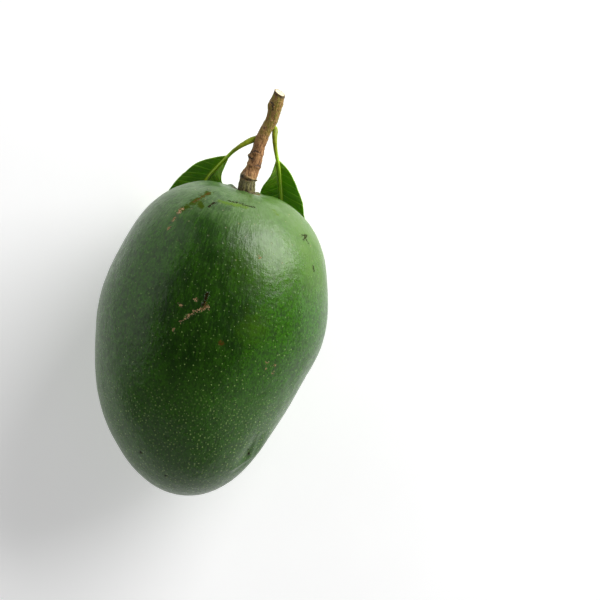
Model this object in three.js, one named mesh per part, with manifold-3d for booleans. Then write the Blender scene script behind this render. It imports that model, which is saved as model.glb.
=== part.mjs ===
// A green mango as picked, lying on its cheek, with its woody stem and the two leaves that grow on the stem.
// Millimetres, +Z up. The origin is the middle of the small flat spot that the fruit rests on.
// +Y runs along the fruit towards the stem, and +X is the fruit's beaked side.
import * as THREE from "three";
import { mergeVertices } from "three/addons/utils/BufferGeometryUtils.js";
import Module from "manifold-3d";

const wasm = await Module();
wasm.setup();

const TURN = 2 * Math.PI;
const degrees = THREE.MathUtils.degToRad;

// Fruit. Each list goes once round the fruit in even steps from the stem, as distances from its centre.
const BROAD_OUTLINE = [
  59.7, 57.5, 49.0, 41.7, 36.8, 34.9, 38.2, 48.4, 59.4, 58.5, 52.7, 48.4, 47.6, 50.2, 55.9, 61.6,
];
const CHEEK_OUTLINE = [
  59.7, 57.0, 48.2, 40.6, 37.7, 38.0, 42.4, 52.0, 59.4, 52.0, 42.4, 38.0, 37.7, 40.6, 48.2, 57.0,
];
const FRUIT_RINGS = 52;
// The rings are closer together near the stem and the tip.
const FRUIT_RINGS_CROWDING = 0.19;
const FRUIT_SEGMENTS = 56;

// Hollow round the stem, and the soft creases that run out of it.
const HOLLOW_DEPTH = 2.2;
const HOLLOW_ANGLE = degrees(7.5);
const CREASE_COUNT = 7;
const CREASE_DEPTH = 0.35;
const CREASE_ANGLE = degrees(15);

// Beak: a low ridge near the tip, on the +X side, with the groove called the sinus beside it.
const BEAK_ALONG = degrees(148);
const BEAK_ROUND = degrees(25);
const BEAK_LENGTH_ANGLE = degrees(10);
const BEAK_WIDTH_ANGLE = degrees(9);
const BEAK_HEIGHT = 0.7;
const SINUS_ROUND = degrees(40);

// How the fruit lies: the stem end a little higher than the tip, the beaked side a little lower than the back.
// The rest point is the middle of the skin that is pressed flat, in the fruit's own frame.
const STEM_RISE = degrees(5);
const BEAK_SIDE_DROP = degrees(4);
const REST_POINT = new THREE.Vector3(-3.3, 0.1, -37.65);
const SURFACE_BLOCK = 200;

// Stem, in the fruit's own frame: across, along the fruit, and up from its mid plane.
const STEM_PATH = [
  [-0.3, 58.3, 0],
  [-0.5, 63.4, 0.2],
  [0.5, 66.8, 0.4],
  [1.1, 70.5, 0.8],
  [1.6, 77.2, 1.6],
  [2.9, 82.6, 2.4],
  [4.3, 86.6, 3.0],
  [4.8, 92.3, 4.1],
  [5.4, 97.2, 5.3],
];
const STEM_RADII = [3.2, 3.2, 2.65, 2.3, 2.3, 2.2, 2.3, 2.6, 2.2];
const STEM_RINGS = 46;
const STEM_SEGMENTS = 14;
const STEM_CUT_SLOPE = Math.tan(degrees(20));
const STEM_CUT_FROM = 0.9;
// Old growth rings: distance from the fruit, height and half width.
const STEM_NODES = [
  [5.3, 0.3, 0.7],
  [10.6, 0.25, 0.6],
  [15.6, 0.25, 0.7],
];
// Knobs and the scars of shed shoots: distance from the fruit, angle round the stem, height and half width.
const STEM_SCARS = [
  [5.2, degrees(5), 0.7, 0.8],
  [5.4, degrees(175), 0.25, 0.8],
  [13.7, degrees(180), 0.9, 0.9],
  [34.4, degrees(160), 0.5, 1.5],
];

// Leaves, in the part's own frame. Each stalk starts on the stem, and each blade goes down to the surface
// and lies on it. Fold lifts both edges and roll lifts the +X edge: first near the stalk, then under the fruit.
const LEAVES = {
  leaf_left: {
    stalk: [
      [5.4, 74.3, 44.9],
      [4.6, 73.9, 44.9],
      [2.8, 72.5, 45.4],
      [0.5, 70.6, 45.2],
      [-1.6, 68.5, 43.8],
    ],
    midrib: [
      [-3.3, 66.4, 41.2],
      [-6.3, 62.7, 35.2],
      [-9.3, 58.9, 27.2],
      [-10.9, 56.2, 20.6],
      [-13.6, 51.2, 13.2],
      [-17.2, 44.8, 8.8],
      [-21.4, 37.4, 5.2],
      [-25.6, 29.0, 3.1],
      [-29.4, 20.2, 1.8],
      [-32.6, 11.4, 1.0],
      [-34.8, 4.6, 1.2],
    ],
    halfWidth: 9.4,
    fold: [degrees(28), degrees(7)],
    roll: [degrees(12), degrees(-14)],
    waveStart: 0.4,
  },
  leaf_right: {
    stalk: [
      [11.9, 80.1, 44.8],
      [12.6, 79.5, 44.3],
      [13.1, 76.6, 45.0],
      [13.8, 73.4, 44.9],
      [14.7, 70.6, 43.7],
    ],
    midrib: [
      [15.6, 68.2, 41.6],
      [16.8, 64.7, 36.4],
      [17.7, 61.2, 31.0],
      [18.6, 57.6, 25.2],
      [19.3, 54.4, 20.0],
      [20.6, 48.4, 12.6],
      [23.2, 41.6, 7.8],
      [26.4, 33.4, 4.6],
      [29.4, 24.6, 2.7],
      [32.0, 15.4, 1.5],
      [33.8, 6.4, 0.9],
      [34.6, -0.4, 1.2],
    ],
    halfWidth: 9.4,
    fold: [degrees(20), degrees(9)],
    roll: [degrees(-12), degrees(12)],
    waveStart: 2.1,
  },
};
const SETTLED_FROM = 0.06;
const SETTLED_BY = 0.21;
const BLADE_THICKNESS = 0.7;
const BLADE_STEPS = 28;
const BLADE_CELLS = 8;
const WIDEST_AT = 0.777;
const OUTLINE_POWER = 1.05;
const WAVE_HEIGHT = 0.55;
const WAVE_COUNT = 4.5;
const WAVE_LAG = 1.3;
const STALK_RADII = [1.2, 1.05, 0.85, 0.72];
const MIDRIB_RADII = [0.8, 0.34];
const RIB_SEGMENTS = 6;
const RIB_STEPS = 32;

const MATERIALS = {
  fruit: new THREE.MeshStandardMaterial({ color: 0x2f5a22, roughness: 0.42, metalness: 0 }),
  stem: new THREE.MeshStandardMaterial({ color: 0x8a6a4a, roughness: 0.85, metalness: 0 }),
  leaf: new THREE.MeshStandardMaterial({ color: 0x2f5c12, roughness: 0.45, metalness: 0 }),
};

// The radius at an angle of the smooth closed curve through radii given in even steps round the circle.
function roundRadius(radii, angle) {
  const count = radii.length;
  let sum = 0;
  radii.forEach((radius, i) => {
    const gap = angle - (TURN * i) / count;
    let weight = 1 + Math.cos((count / 2) * gap);
    for (let k = 1; k < count / 2; k++) weight += 2 * Math.cos(k * gap);
    sum += radius * weight;
  });
  return sum / count;
}

// A soft bump: 1 at zero, and near 0 beyond twice the width.
function bump(distance, width) {
  return Math.exp(-((distance / width) ** 2));
}

// The smaller way round between two angles.
function turnBetween(a, b) {
  return Math.atan2(Math.sin(a - b), Math.cos(a - b));
}

// A point of the skin in the fruit's own frame: x across, y along towards the stem, z up from the mid plane.
// along goes from 0 at the stem to half a turn at the tip, and round starts on the beaked side.
function skinPoint(along, round) {
  const right = roundRadius(BROAD_OUTLINE, along);
  const left = roundRadius(BROAD_OUTLINE, -along);
  const upper = roundRadius(CHEEK_OUTLINE, along);
  const lower = roundRadius(CHEEK_OUTLINE, -along);
  let radius =
    (right + left + upper + lower) / 4 +
    ((right - left) / 2) * Math.cos(round) +
    ((upper - lower) / 2) * Math.sin(round) +
    ((right + left - upper - lower) / 4) * Math.cos(2 * round);
  radius -= HOLLOW_DEPTH * bump(along, HOLLOW_ANGLE);
  const creaseFade = bump(along - CREASE_ANGLE, CREASE_ANGLE / 2);
  radius -= CREASE_DEPTH * creaseFade * Math.cos(CREASE_COUNT * round + Math.sin(2 * round));
  const beakReach = bump(along - BEAK_ALONG, BEAK_LENGTH_ANGLE);
  const ridge = bump(turnBetween(round, BEAK_ROUND), BEAK_WIDTH_ANGLE);
  const groove = bump(turnBetween(round, SINUS_ROUND), BEAK_WIDTH_ANGLE);
  radius += BEAK_HEIGHT * beakReach * (ridge - groove);
  const out = radius * Math.sin(along);
  return new THREE.Vector3(out * Math.cos(round), radius * Math.cos(along), out * Math.sin(round));
}

// A closed mesh geometry from rings of points, each ring with the same count, with a point at both ends.
// From the given place in the rings on, the cells are split the other way.
function ringedGeometry(firstPoint, rings, lastPoint, otherWayFrom = Infinity) {
  const count = rings[0].length;
  const points = [firstPoint, ...rings.flat(), lastPoint];
  const last = points.length - 1;
  const index = [];
  for (let j = 0; j < count; j++) {
    const next = (j + 1) % count;
    index.push(0, 1 + j, 1 + next);
    for (let i = 0; i < rings.length - 1; i++) {
      const near = 1 + i * count;
      const far = near + count;
      if (j < otherWayFrom) index.push(near + j, far + j, far + next, near + j, far + next, near + next);
      else index.push(near + j, far + j, near + next, far + j, far + next, near + next);
    }
    const end = last - count;
    index.push(last, end + next, end + j);
  }
  const geometry = new THREE.BufferGeometry().setFromPoints(points);
  geometry.setIndex(index);
  return geometry;
}

// A solid for cutting and joining, from a closed three.js geometry. It is turned outward if it isn't already.
function solidFrom(geometry) {
  const bare = geometry.clone();
  bare.deleteAttribute("normal");
  bare.deleteAttribute("uv");
  const merged = mergeVertices(bare, 1e-4);
  const vertProperties = merged.attributes.position.array;
  const triVerts = new Uint32Array(merged.index.array);
  const made = new wasm.Manifold(new wasm.Mesh({ numProp: 3, vertProperties, triVerts }));
  if (made.volume() > 0) return made;
  for (let i = 0; i < triVerts.length; i += 3) {
    [triVerts[i + 1], triVerts[i + 2]] = [triVerts[i + 2], triVerts[i + 1]];
  }
  return new wasm.Manifold(new wasm.Mesh({ numProp: 3, vertProperties, triVerts }));
}

// The three.js geometry of a finished solid.
function geometryFrom(solid) {
  const mesh = solid.getMesh();
  const geometry = new THREE.BufferGeometry();
  geometry.setAttribute("position", new THREE.BufferAttribute(mesh.vertProperties, 3));
  geometry.setIndex(new THREE.BufferAttribute(mesh.triVerts, 1));
  geometry.computeVertexNormals();
  return geometry;
}

// The smooth curve through a list of points.
function curveThrough(points) {
  return new THREE.CatmullRomCurve3(points.map((p) => new THREE.Vector3(...p)), false, "centripetal");
}

// A value read along an evenly spaced list, with at from 0 to 1 and a smooth step between entries.
function valueAlong(list, at) {
  const place = Math.min(Math.max(at, 0), 1) * (list.length - 1);
  const i = Math.min(Math.floor(place), list.length - 2);
  return THREE.MathUtils.lerp(list[i], list[i + 1], THREE.MathUtils.smoothstep(place - i, 0, 1));
}

// Where the fruit's own frame lies in the part's frame.
const lying = new THREE.Group();
lying.rotation.set(STEM_RISE, BEAK_SIDE_DROP, 0, "YXZ");
lying.position.copy(REST_POINT).applyEuler(lying.rotation).negate();
lying.updateMatrixWorld(true);

// Flesh, stone and skin grew as one piece. The surface it lies on presses one small flat spot.
function fruitGeometry() {
  const rings = [];
  for (let i = 1; i < FRUIT_RINGS; i++) {
    const along = (Math.PI * i) / FRUIT_RINGS - FRUIT_RINGS_CROWDING * Math.sin((TURN * i) / FRUIT_RINGS);
    const ring = [];
    for (let j = 0; j < FRUIT_SEGMENTS; j++) ring.push(skinPoint(along, (TURN * j) / FRUIT_SEGMENTS));
    rings.push(ring);
  }
  const whole = solidFrom(ringedGeometry(skinPoint(0, 0), rings, skinPoint(Math.PI, 0)));
  const below = new THREE.BoxGeometry(SURFACE_BLOCK, SURFACE_BLOCK, SURFACE_BLOCK);
  below.translate(0, 0, -SURFACE_BLOCK / 2);
  below.applyMatrix4(lying.matrixWorld.clone().invert());
  return geometryFrom(whole.subtract(solidFrom(below)));
}

const stemCurve = curveThrough(STEM_PATH);
const STEM_LENGTH = stemCurve.getLength();

// The stem is a woody twig: a round rod with growth rings, the scars of shed shoots and an oblique cut end.
function stemGeometry() {
  const across = new THREE.Vector3(1, 0, 0);
  const rings = [];
  for (let i = 0; i <= STEM_RINGS; i++) {
    const at = i / STEM_RINGS;
    const centre = stemCurve.getPointAt(at);
    const forward = stemCurve.getTangentAt(at);
    const up = new THREE.Vector3().crossVectors(across, forward).normalize();
    const side = new THREE.Vector3().crossVectors(forward, up).normalize();
    const distance = at * STEM_LENGTH;
    const cut = STEM_CUT_SLOPE * THREE.MathUtils.smoothstep(at, STEM_CUT_FROM, 1);
    const ring = [];
    for (let j = 0; j < STEM_SEGMENTS; j++) {
      const round = (TURN * j) / STEM_SEGMENTS;
      let radius = valueAlong(STEM_RADII, at);
      for (const [place, height, width] of STEM_NODES) radius += height * bump(distance - place, width);
      for (const [place, angle, height, width] of STEM_SCARS) {
        radius += height * bump(distance - place, width) * bump(turnBetween(round, angle) * radius, width);
      }
      const x = radius * Math.cos(round);
      const z = radius * Math.sin(round);
      ring.push(
        centre
          .clone()
          .addScaledVector(side, x)
          .addScaledVector(up, z)
          .addScaledVector(forward, -cut * (x + z)),
      );
    }
    rings.push(ring);
  }
  return ringedGeometry(stemCurve.getPointAt(0), rings, stemCurve.getPointAt(1));
}

// A leaf's directions at a place on its midrib: along it, across the blade, and up from its face.
function bladeFrame(curve, at, roll) {
  const forward = curve.getTangentAt(at);
  const level = new THREE.Vector3(-forward.y, forward.x, 0).normalize();
  const face = new THREE.Vector3().crossVectors(forward, level).normalize();
  if (face.z < 0) face.negate();
  const side = new THREE.Vector3().crossVectors(face, forward).normalize();
  side.applyAxisAngle(forward, roll);
  face.applyAxisAngle(forward, roll);
  return { forward, side, face };
}

// A leaf angle at a place on the midrib, from its value near the stalk and its value under the fruit.
function settled([free, lying], at) {
  return THREE.MathUtils.lerp(free, lying, THREE.MathUtils.smoothstep(at, SETTLED_FROM, SETTLED_BY));
}

// A point of the blade's middle surface. across goes from -1 on one edge to 1 on the other.
function bladePoint(leaf, curve, at, across) {
  const { side, face } = bladeFrame(curve, at, settled(leaf.roll, at));
  const half = leaf.halfWidth * Math.sin(Math.PI * at ** WIDEST_AT) ** OUTLINE_POWER;
  const fold = settled(leaf.fold, at);
  const edge = Math.abs(across);
  const wave = Math.sin(TURN * WAVE_COUNT * at + leaf.waveStart + (across > 0 ? WAVE_LAG : 0));
  const lift = half * edge * Math.sin(fold) + WAVE_HEIGHT * wave * edge * edge * Math.sin(Math.PI * at);
  return curve
    .getPointAt(at)
    .addScaledVector(side, half * across * Math.cos(fold))
    .addScaledVector(face, lift);
}

// One leaf: a thin blade folded a little along its midrib, waved at the edges, fused to its midrib and stalk.
function leafGeometry(leaf) {
  const curve = curveThrough(leaf.midrib);
  const rings = [];
  for (let i = 1; i < BLADE_STEPS; i++) {
    const at = i / BLADE_STEPS;
    const { face } = bladeFrame(curve, at, settled(leaf.roll, at));
    const upper = [];
    const lower = [];
    for (let j = 0; j <= BLADE_CELLS; j++) {
      const point = bladePoint(leaf, curve, at, (2 * j) / BLADE_CELLS - 1);
      upper.push(point.clone().addScaledVector(face, BLADE_THICKNESS / 2));
      lower.push(point.clone().addScaledVector(face, -BLADE_THICKNESS / 2));
    }
    rings.push([...upper, ...lower.reverse()]);
  }
  // Both faces of the blade are split into the same triangles, so it keeps its thickness where it is waved.
  const blade = solidFrom(ringedGeometry(curve.getPointAt(0), rings, curve.getPointAt(1), BLADE_CELLS + 1));

  const ribCurve = curveThrough([...leaf.stalk, ...leaf.midrib.slice(0, -1)]);
  const stalkShare = curveThrough([...leaf.stalk, leaf.midrib[0]]).getLength() / ribCurve.getLength();
  const ribRings = [];
  for (let i = 0; i <= RIB_STEPS; i++) {
    const at = i / RIB_STEPS;
    const { side, face } = bladeFrame(ribCurve, at, 0);
    const radius =
      at < stalkShare
        ? valueAlong([...STALK_RADII, MIDRIB_RADII[0]], at / stalkShare)
        : THREE.MathUtils.lerp(...MIDRIB_RADII, (at - stalkShare) / (1 - stalkShare));
    const ring = [];
    for (let j = 0; j < RIB_SEGMENTS; j++) {
      const round = (TURN * j) / RIB_SEGMENTS;
      ring.push(
        ribCurve
          .getPointAt(at)
          .addScaledVector(side, radius * Math.cos(round))
          .addScaledVector(face, radius * Math.sin(round)),
      );
    }
    ribRings.push(ring);
  }
  const rib = solidFrom(ringedGeometry(ribCurve.getPointAt(0), ribRings, ribCurve.getPointAt(1)));
  return geometryFrom(blade.add(rib));
}

function named(name, geometry, material) {
  const mesh = new THREE.Mesh(geometry, material);
  mesh.name = name;
  return mesh;
}

lying.add(named("fruit", fruitGeometry(), MATERIALS.fruit));
lying.add(named("stem", stemGeometry(), MATERIALS.stem));

const mango = new THREE.Group();
mango.add(lying);
for (const [name, leaf] of Object.entries(LEAVES)) mango.add(named(name, leafGeometry(leaf), MATERIALS.leaf));

export default mango;
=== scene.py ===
# A green mango as picked, lying on its cheek, with its woody stem and the two leaves that grow on it.
# The frame is the CAD model's: +Z up, +Y towards the stem, +X the beaked side.
# Shapes are made in millimetres, and become metres when their objects are made.
import math

import bmesh
import bpy
from mathutils import Matrix, Vector, noise


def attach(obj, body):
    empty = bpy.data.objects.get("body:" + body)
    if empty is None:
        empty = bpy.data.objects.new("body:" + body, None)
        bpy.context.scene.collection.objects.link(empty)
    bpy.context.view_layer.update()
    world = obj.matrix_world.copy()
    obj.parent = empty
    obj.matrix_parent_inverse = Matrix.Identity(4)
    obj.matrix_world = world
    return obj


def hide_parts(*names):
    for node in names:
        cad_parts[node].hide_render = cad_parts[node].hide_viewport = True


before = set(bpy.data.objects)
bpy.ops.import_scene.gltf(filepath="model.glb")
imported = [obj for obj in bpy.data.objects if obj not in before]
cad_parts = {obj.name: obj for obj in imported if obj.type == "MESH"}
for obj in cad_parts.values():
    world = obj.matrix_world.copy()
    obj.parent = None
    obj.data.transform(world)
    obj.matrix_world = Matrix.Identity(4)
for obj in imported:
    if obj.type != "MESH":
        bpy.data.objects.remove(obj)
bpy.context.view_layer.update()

# Fruit
# Flesh, stone and skin grew as one smooth body, slightly flattened between its two cheeks. It has a hollow
# round the stem, a low beak with a groove beside it near the tip, and one spot pressed flat by its weight.
MILLIMETRE = 0.001
# Two outlines as radii from the fruit's middle, evenly spaced from the stem to the tip and back to the stem.
# The broad one starts down the beaked side, and the one through both cheeks starts down the upper cheek.
BROAD_OUTLINE = [
    59.7, 57.5, 49.0, 41.7, 36.8, 34.9, 38.2, 48.4,
    59.4, 58.5, 52.7, 48.4, 47.6, 50.2, 55.9, 61.6,
]
CHEEK_OUTLINE = [
    59.7, 57.0, 48.2, 40.6, 37.7, 38.0, 42.4, 52.0,
    59.4, 52.0, 42.4, 38.0, 37.7, 40.6, 48.2, 57.0,
]
SKIN_ROUND = 320
SKIN_ROWS = 280
ROW_CROWDING = 0.12
HOLLOW_DEPTH = 2.2
HOLLOW_ANGLE = math.radians(7.5)
CREASE_COUNT = 7
CREASE_DEPTH = 0.35
CREASE_ANGLE = math.radians(15)
BEAK_ALONG = math.radians(148)
BEAK_ROUND = math.radians(25)
BEAK_LENGTH_ANGLE = math.radians(10)
BEAK_WIDTH_ANGLE = math.radians(9)
BEAK_HEIGHT = 0.7
SINUS_ROUND = math.radians(40)
# The fold beside the beak and the rim along it run through these points on the skin.
SINUS_FOLD = [(19.5, -30.5, 16.9), (17.4, -35.6, 15.6), (16.0, -38.6, 15.1), (14.4, -40.3, 16.1)]
SINUS_FOLD_DEPTH = 0.28
SINUS_FOLD_WIDTH = 2.0
SINUS_RIM = [
    (19.7, -29.6, 17.3),
    (18.9, -32.6, 15.8),
    (18.1, -39.6, 11.9),
    (14.6, -43.0, 13.5),
    (12.4, -44.7, 14.9),
]
SINUS_RIM_HEIGHT = 0.38
SINUS_RIM_WIDTH = 1.2
# Lumps round the foot of the stem: place, height and width.
STEM_BASE_LUMPS = [
    ((-6.0, 58.2, -2.5), 1.3, 1.7),
    ((3.9, 57.8, -2.5), 1.0, 1.6),
    ((-1.2, 58.0, 6.5), 0.4, 1.5),
]
# The grown body isn't quite even: the height of its unevenness, and how fine it is.
UNEVENNESS = [(0.12, 5.5), (0.05, 13.0)]
# The grain of the skin is measured round the fruit at this radius, and along it at this length to a radian.
GRAIN_RADIUS = 40
GRAIN_LENGTH = 48
STEM_RISE = math.radians(5)
BEAK_SIDE_DROP = math.radians(4)
REST_POINT = Vector((-3.3, 0.1, -37.65))


def round_radius(radii, angle):
    """The radius at an angle of the smooth closed curve through evenly spaced radii."""
    count = len(radii)
    total = 0.0
    for i, radius in enumerate(radii):
        gap = angle - math.tau * i / count
        weight = 1 + math.cos(count / 2 * gap)
        for k in range(1, count // 2):
            weight += 2 * math.cos(k * gap)
        total += radius * weight
    return total / count


def bump(distance, width):
    """A soft bump: 1 at zero, and near 0 beyond twice the width."""
    return math.exp(-((distance / width) ** 2))


def turn_between(a, b):
    """The smaller way round between two angles."""
    return math.atan2(math.sin(a - b), math.cos(a - b))


def path_distance(point, path):
    """How far a point is from a line of straight stretches."""
    best = 1e9
    for start, end in zip(path, path[1:]):
        start = Vector(start)
        stretch = Vector(end) - start
        share = min(max((point - start).dot(stretch) / stretch.length_squared, 0.0), 1.0)
        best = min(best, (point - start - stretch * share).length)
    return best


def finished_object(name, bm, materials):
    """Turns a shape made in millimetres into a smooth-shaded object at the origin, in metres."""
    bmesh.ops.scale(bm, vec=(MILLIMETRE,) * 3, verts=bm.verts)
    mesh = bpy.data.meshes.new(name)
    bm.to_mesh(mesh)
    bm.free()
    for material in materials:
        mesh.materials.append(material)
    mesh.shade_smooth()
    made = bpy.data.objects.new(name, mesh)
    bpy.context.scene.collection.objects.link(made)
    return made


def fill_inputs(material, node, inputs):
    """Sets the named inputs of a node to values, or links them to sockets."""
    for key, value in inputs.items():
        if isinstance(value, bpy.types.NodeSocket):
            material.node_tree.links.new(value, node.inputs[key])
        else:
            node.inputs[key].default_value = value


def add_node(material, kind, inputs, **settings):
    """Adds a node with the given settings and inputs."""
    made = material.node_tree.nodes.new(kind)
    for key, value in settings.items():
        setattr(made, key, value)
    fill_inputs(material, made, inputs)
    return made


def maths(material, operation, *values):
    """The result of one sum on numbers or sockets."""
    made = add_node(material, "ShaderNodeMath", dict(enumerate(values)), operation=operation)
    return made.outputs[0]


def chained(material, operation, *values):
    """The result of one operation, such as MAXIMUM, carried on through all the values."""
    result = values[0]
    for value in values[1:]:
        result = maths(material, operation, result, value)
    return result


def times(material, *values):
    """The product of numbers or sockets."""
    return chained(material, "MULTIPLY", *values)


def summed(material, terms, start=0.0):
    """The start value, plus the value of each term times its amount."""
    for value, amount in terms:
        start = maths(material, "MULTIPLY_ADD", value, amount, start)
    return start


def vector_maths(material, operation, *values):
    """The result of one sum on vectors. A length, a distance and a dot product are numbers."""
    made = add_node(material, "ShaderNodeVectorMath", dict(enumerate(values)), operation=operation)
    return made.outputs["Value" if operation in ("LENGTH", "DISTANCE", "DOT_PRODUCT") else "Vector"]


def scaled(material, vector, factor):
    """A vector times a number."""
    made = add_node(material, "ShaderNodeVectorMath", {0: vector, "Scale": factor}, operation="SCALE")
    return made.outputs["Vector"]


def axes(material, vector):
    """The X, Y and Z of a vector."""
    return add_node(material, "ShaderNodeSeparateXYZ", {"Vector": vector}).outputs


def eased(material, value, low, high, to_low=0.0, to_high=1.0):
    """A value that goes smoothly from one number to another while the input goes from low to high."""
    inputs = {"Value": value, "From Min": low, "From Max": high, "To Min": to_low, "To Max": to_high}
    made = add_node(material, "ShaderNodeMapRange", inputs, interpolation_type="SMOOTHSTEP")
    return made.outputs["Result"]


def layered(material, colour, layers):
    """A colour with others laid over it in turn, each as thickly as its share says."""
    for share, over in layers:
        # Inputs 6 and 7 and output 2 of this node are its colours.
        made = add_node(material, "ShaderNodeMix", {0: share, 6: colour, 7: over}, data_type="RGBA")
        colour = made.outputs[2]
    return colour


def graded(material, value, low, high, first, second):
    """The first colour where a value is low, going over to the second one where it is high."""
    return layered(material, first, [(eased(material, value, low, high), second)])


def clouds(material, place, size, detail=3.0, rough=0.55):
    """Noise from 0 to 1 with blotches of about the given size, in the units of place."""
    inputs = {"Vector": place, "Scale": 1 / size, "Detail": detail, "Roughness": rough}
    return add_node(material, "ShaderNodeTexNoise", inputs).outputs["Fac"]


def centred(material, share):
    """Noise from 0 to 1, brought to about zero."""
    return maths(material, "SUBTRACT", share, 0.5)


def ragged(material, place, size, amount):
    """An uneven distance, about zero, that wavers over the given size."""
    wavering = centred(material, clouds(material, place, size, detail=4.0, rough=0.7))
    return times(material, wavering, amount)


def relief(material, height):
    """The normal of a surface that is raised by a height in millimetres."""
    return add_node(material, "ShaderNodeBump", {"Height": height, "Distance": MILLIMETRE}).outputs[0]


def new_material(name):
    """A material with a principled shader, and that shader."""
    material = bpy.data.materials.new(name)
    material.use_nodes = True
    return material, material.node_tree.nodes["Principled BSDF"]


lying_turn = Matrix.Rotation(BEAK_SIDE_DROP, 4, "Y") @ Matrix.Rotation(STEM_RISE, 4, "X")
lying = Matrix.Translation(-(lying_turn @ REST_POINT)) @ lying_turn

shape = bmesh.new()
bmesh.ops.create_uvsphere(shape, u_segments=SKIN_ROUND, v_segments=SKIN_ROWS, radius=1.0)
own_place = shape.verts.layers.float_vector.new("fruit_place")
grain_place = shape.verts.layers.float_vector.new("skin_grain")
outline_radii = {}
for vert in shape.verts:
    # The rows are crowded a little towards the stem and the tip.
    even = math.acos(min(max(vert.co.z, -1.0), 1.0))
    along = even - ROW_CROWDING * math.sin(2 * even)
    round_it = math.atan2(vert.co.y, vert.co.x)
    ring = round(even, 5)
    if ring not in outline_radii:
        outline_radii[ring] = [
            round_radius(outline, way * along)
            for outline in (BROAD_OUTLINE, CHEEK_OUTLINE)
            for way in (1, -1)
        ]
    right, left, upper, lower = outline_radii[ring]
    radius = (right + left + upper + lower) / 4
    radius += (right - left) / 2 * math.cos(round_it) + (upper - lower) / 2 * math.sin(round_it)
    radius += (right + left - upper - lower) / 4 * math.cos(2 * round_it)
    radius -= HOLLOW_DEPTH * bump(along, HOLLOW_ANGLE)
    crease_fade = bump(along - CREASE_ANGLE, CREASE_ANGLE / 2)
    radius -= CREASE_DEPTH * crease_fade * math.cos(CREASE_COUNT * round_it + math.sin(2 * round_it))
    beak_reach = bump(along - BEAK_ALONG, BEAK_LENGTH_ANGLE)
    ridge = bump(turn_between(round_it, BEAK_ROUND), BEAK_WIDTH_ANGLE)
    groove = bump(turn_between(round_it, SINUS_ROUND), BEAK_WIDTH_ANGLE)
    radius += BEAK_HEIGHT * beak_reach * (ridge - groove)
    direction = Vector(
        (math.sin(along) * math.cos(round_it), math.cos(along), math.sin(along) * math.sin(round_it))
    )
    skin = direction * radius
    by_groove = along > math.radians(125) and -0.1 < round_it < 1.3
    if by_groove:
        radius += SINUS_RIM_HEIGHT * bump(path_distance(skin, SINUS_RIM), SINUS_RIM_WIDTH)
        radius -= SINUS_FOLD_DEPTH * bump(path_distance(skin, SINUS_FOLD), SINUS_FOLD_WIDTH)
    by_stem = along < math.radians(16)
    if by_stem:
        for lump, lump_height, lump_width in STEM_BASE_LUMPS:
            radius += lump_height * bump((skin - Vector(lump)).length, lump_width)
    for wave_height, fineness in UNEVENNESS:
        radius += wave_height * noise.noise(direction * fineness)
    skin = direction * radius
    vert[own_place] = skin
    vert[grain_place] = (
        GRAIN_RADIUS * math.cos(round_it),
        GRAIN_RADIUS * math.sin(round_it),
        GRAIN_LENGTH * along,
    )
    vert.co = lying @ skin
    vert.co.z = max(vert.co.z, 0.0)
bmesh.ops.recalc_face_normals(shape, faces=shape.faces)

# Skin: deep green and waxy, yellower on the shoulder by the beaked side, with a pale bloom near the stem.
# Painted shade: the darkest green, laid on the middle of the upper cheek.
SHADED_CHEEK_GREEN = (0.006, 0.032, 0.0003, 1)
OUTER_GREEN = (0.034, 0.142, 0.002, 1)
STREAK_GREEN = (0.036, 0.128, 0.003, 1)
MOTTLE_GREEN = (0.008, 0.030, 0.001, 1)
FINE_STREAK_GREEN = (0.036, 0.118, 0.005, 1)
SPECKLE_GREEN = (0.008, 0.028, 0.001, 1)
SHOULDER_GREEN = (0.076, 0.178, 0.003, 1)
PATCH_GREEN = (0.058, 0.125, 0.002, 1)
TIP_GREEN = (0.060, 0.135, 0.034, 1)
BLOOM_GREEN = (0.125, 0.205, 0.078, 1)
PALE_LENTICEL = (0.28, 0.42, 0.12, 1)
CORKY_LENTICEL = (0.30, 0.27, 0.11, 1)
STREAK_STRETCH = (1.0, 1.0, 0.3)
SPECKLE_STRETCH = (1.0, 1.0, 0.6)
CHEEK_SHADE_MIDDLE = (-8.0, 20.0, 0.0)
CHEEK_SHADE_REACH = (20.0, 40.0)
PATCH_MIDDLE = (9.9, 11.5, 35.5)
RUBBED_MIDDLE = (-14.0, 43.0, 29.0)
skin_material, skin_shader = new_material("mango skin")
place = add_node(skin_material, "ShaderNodeAttribute", {}, attribute_name="fruit_place").outputs["Vector"]
grain = add_node(skin_material, "ShaderNodeAttribute", {}, attribute_name="skin_grain").outputs["Vector"]
skin_axes = axes(skin_material, place)
across = skin_axes["X"]
lengthwise = skin_axes["Y"]

# Growth streaks follow the meridians from the stem to the tip, with mottling and dark specks among them.
streak_place = vector_maths(skin_material, "MULTIPLY", grain, STREAK_STRETCH)
speckle_place = vector_maths(skin_material, "MULTIPLY", grain, SPECKLE_STRETCH)
fine_streaks = clouds(skin_material, streak_place, 0.9, detail=2.0, rough=0.6)
broad_streaks = clouds(skin_material, streak_place, 5.0)
blotches = clouds(skin_material, place, 16.0, detail=4.0, rough=0.6)
mottle = clouds(skin_material, place, 2.4, rough=0.6)
speckle = clouds(skin_material, speckle_place, 0.75, detail=2.0)

# Painted shade makes the middle of the upper cheek the darkest.
cheek_shade_gap = vector_maths(skin_material, "SUBTRACT", place, CHEEK_SHADE_MIDDLE)
cheek_shade_gap = vector_maths(
    skin_material, "MULTIPLY", cheek_shade_gap, (1 / CHEEK_SHADE_REACH[0], 1 / CHEEK_SHADE_REACH[1], 0.0)
)
cheek_shade_gap = vector_maths(skin_material, "LENGTH", cheek_shade_gap)
cheek_shade_gap = summed(skin_material, [(centred(skin_material, blotches), 1.4)], cheek_shade_gap)
out_of_cheek_shade = eased(skin_material, cheek_shade_gap, 0.5, 1.35)

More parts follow.
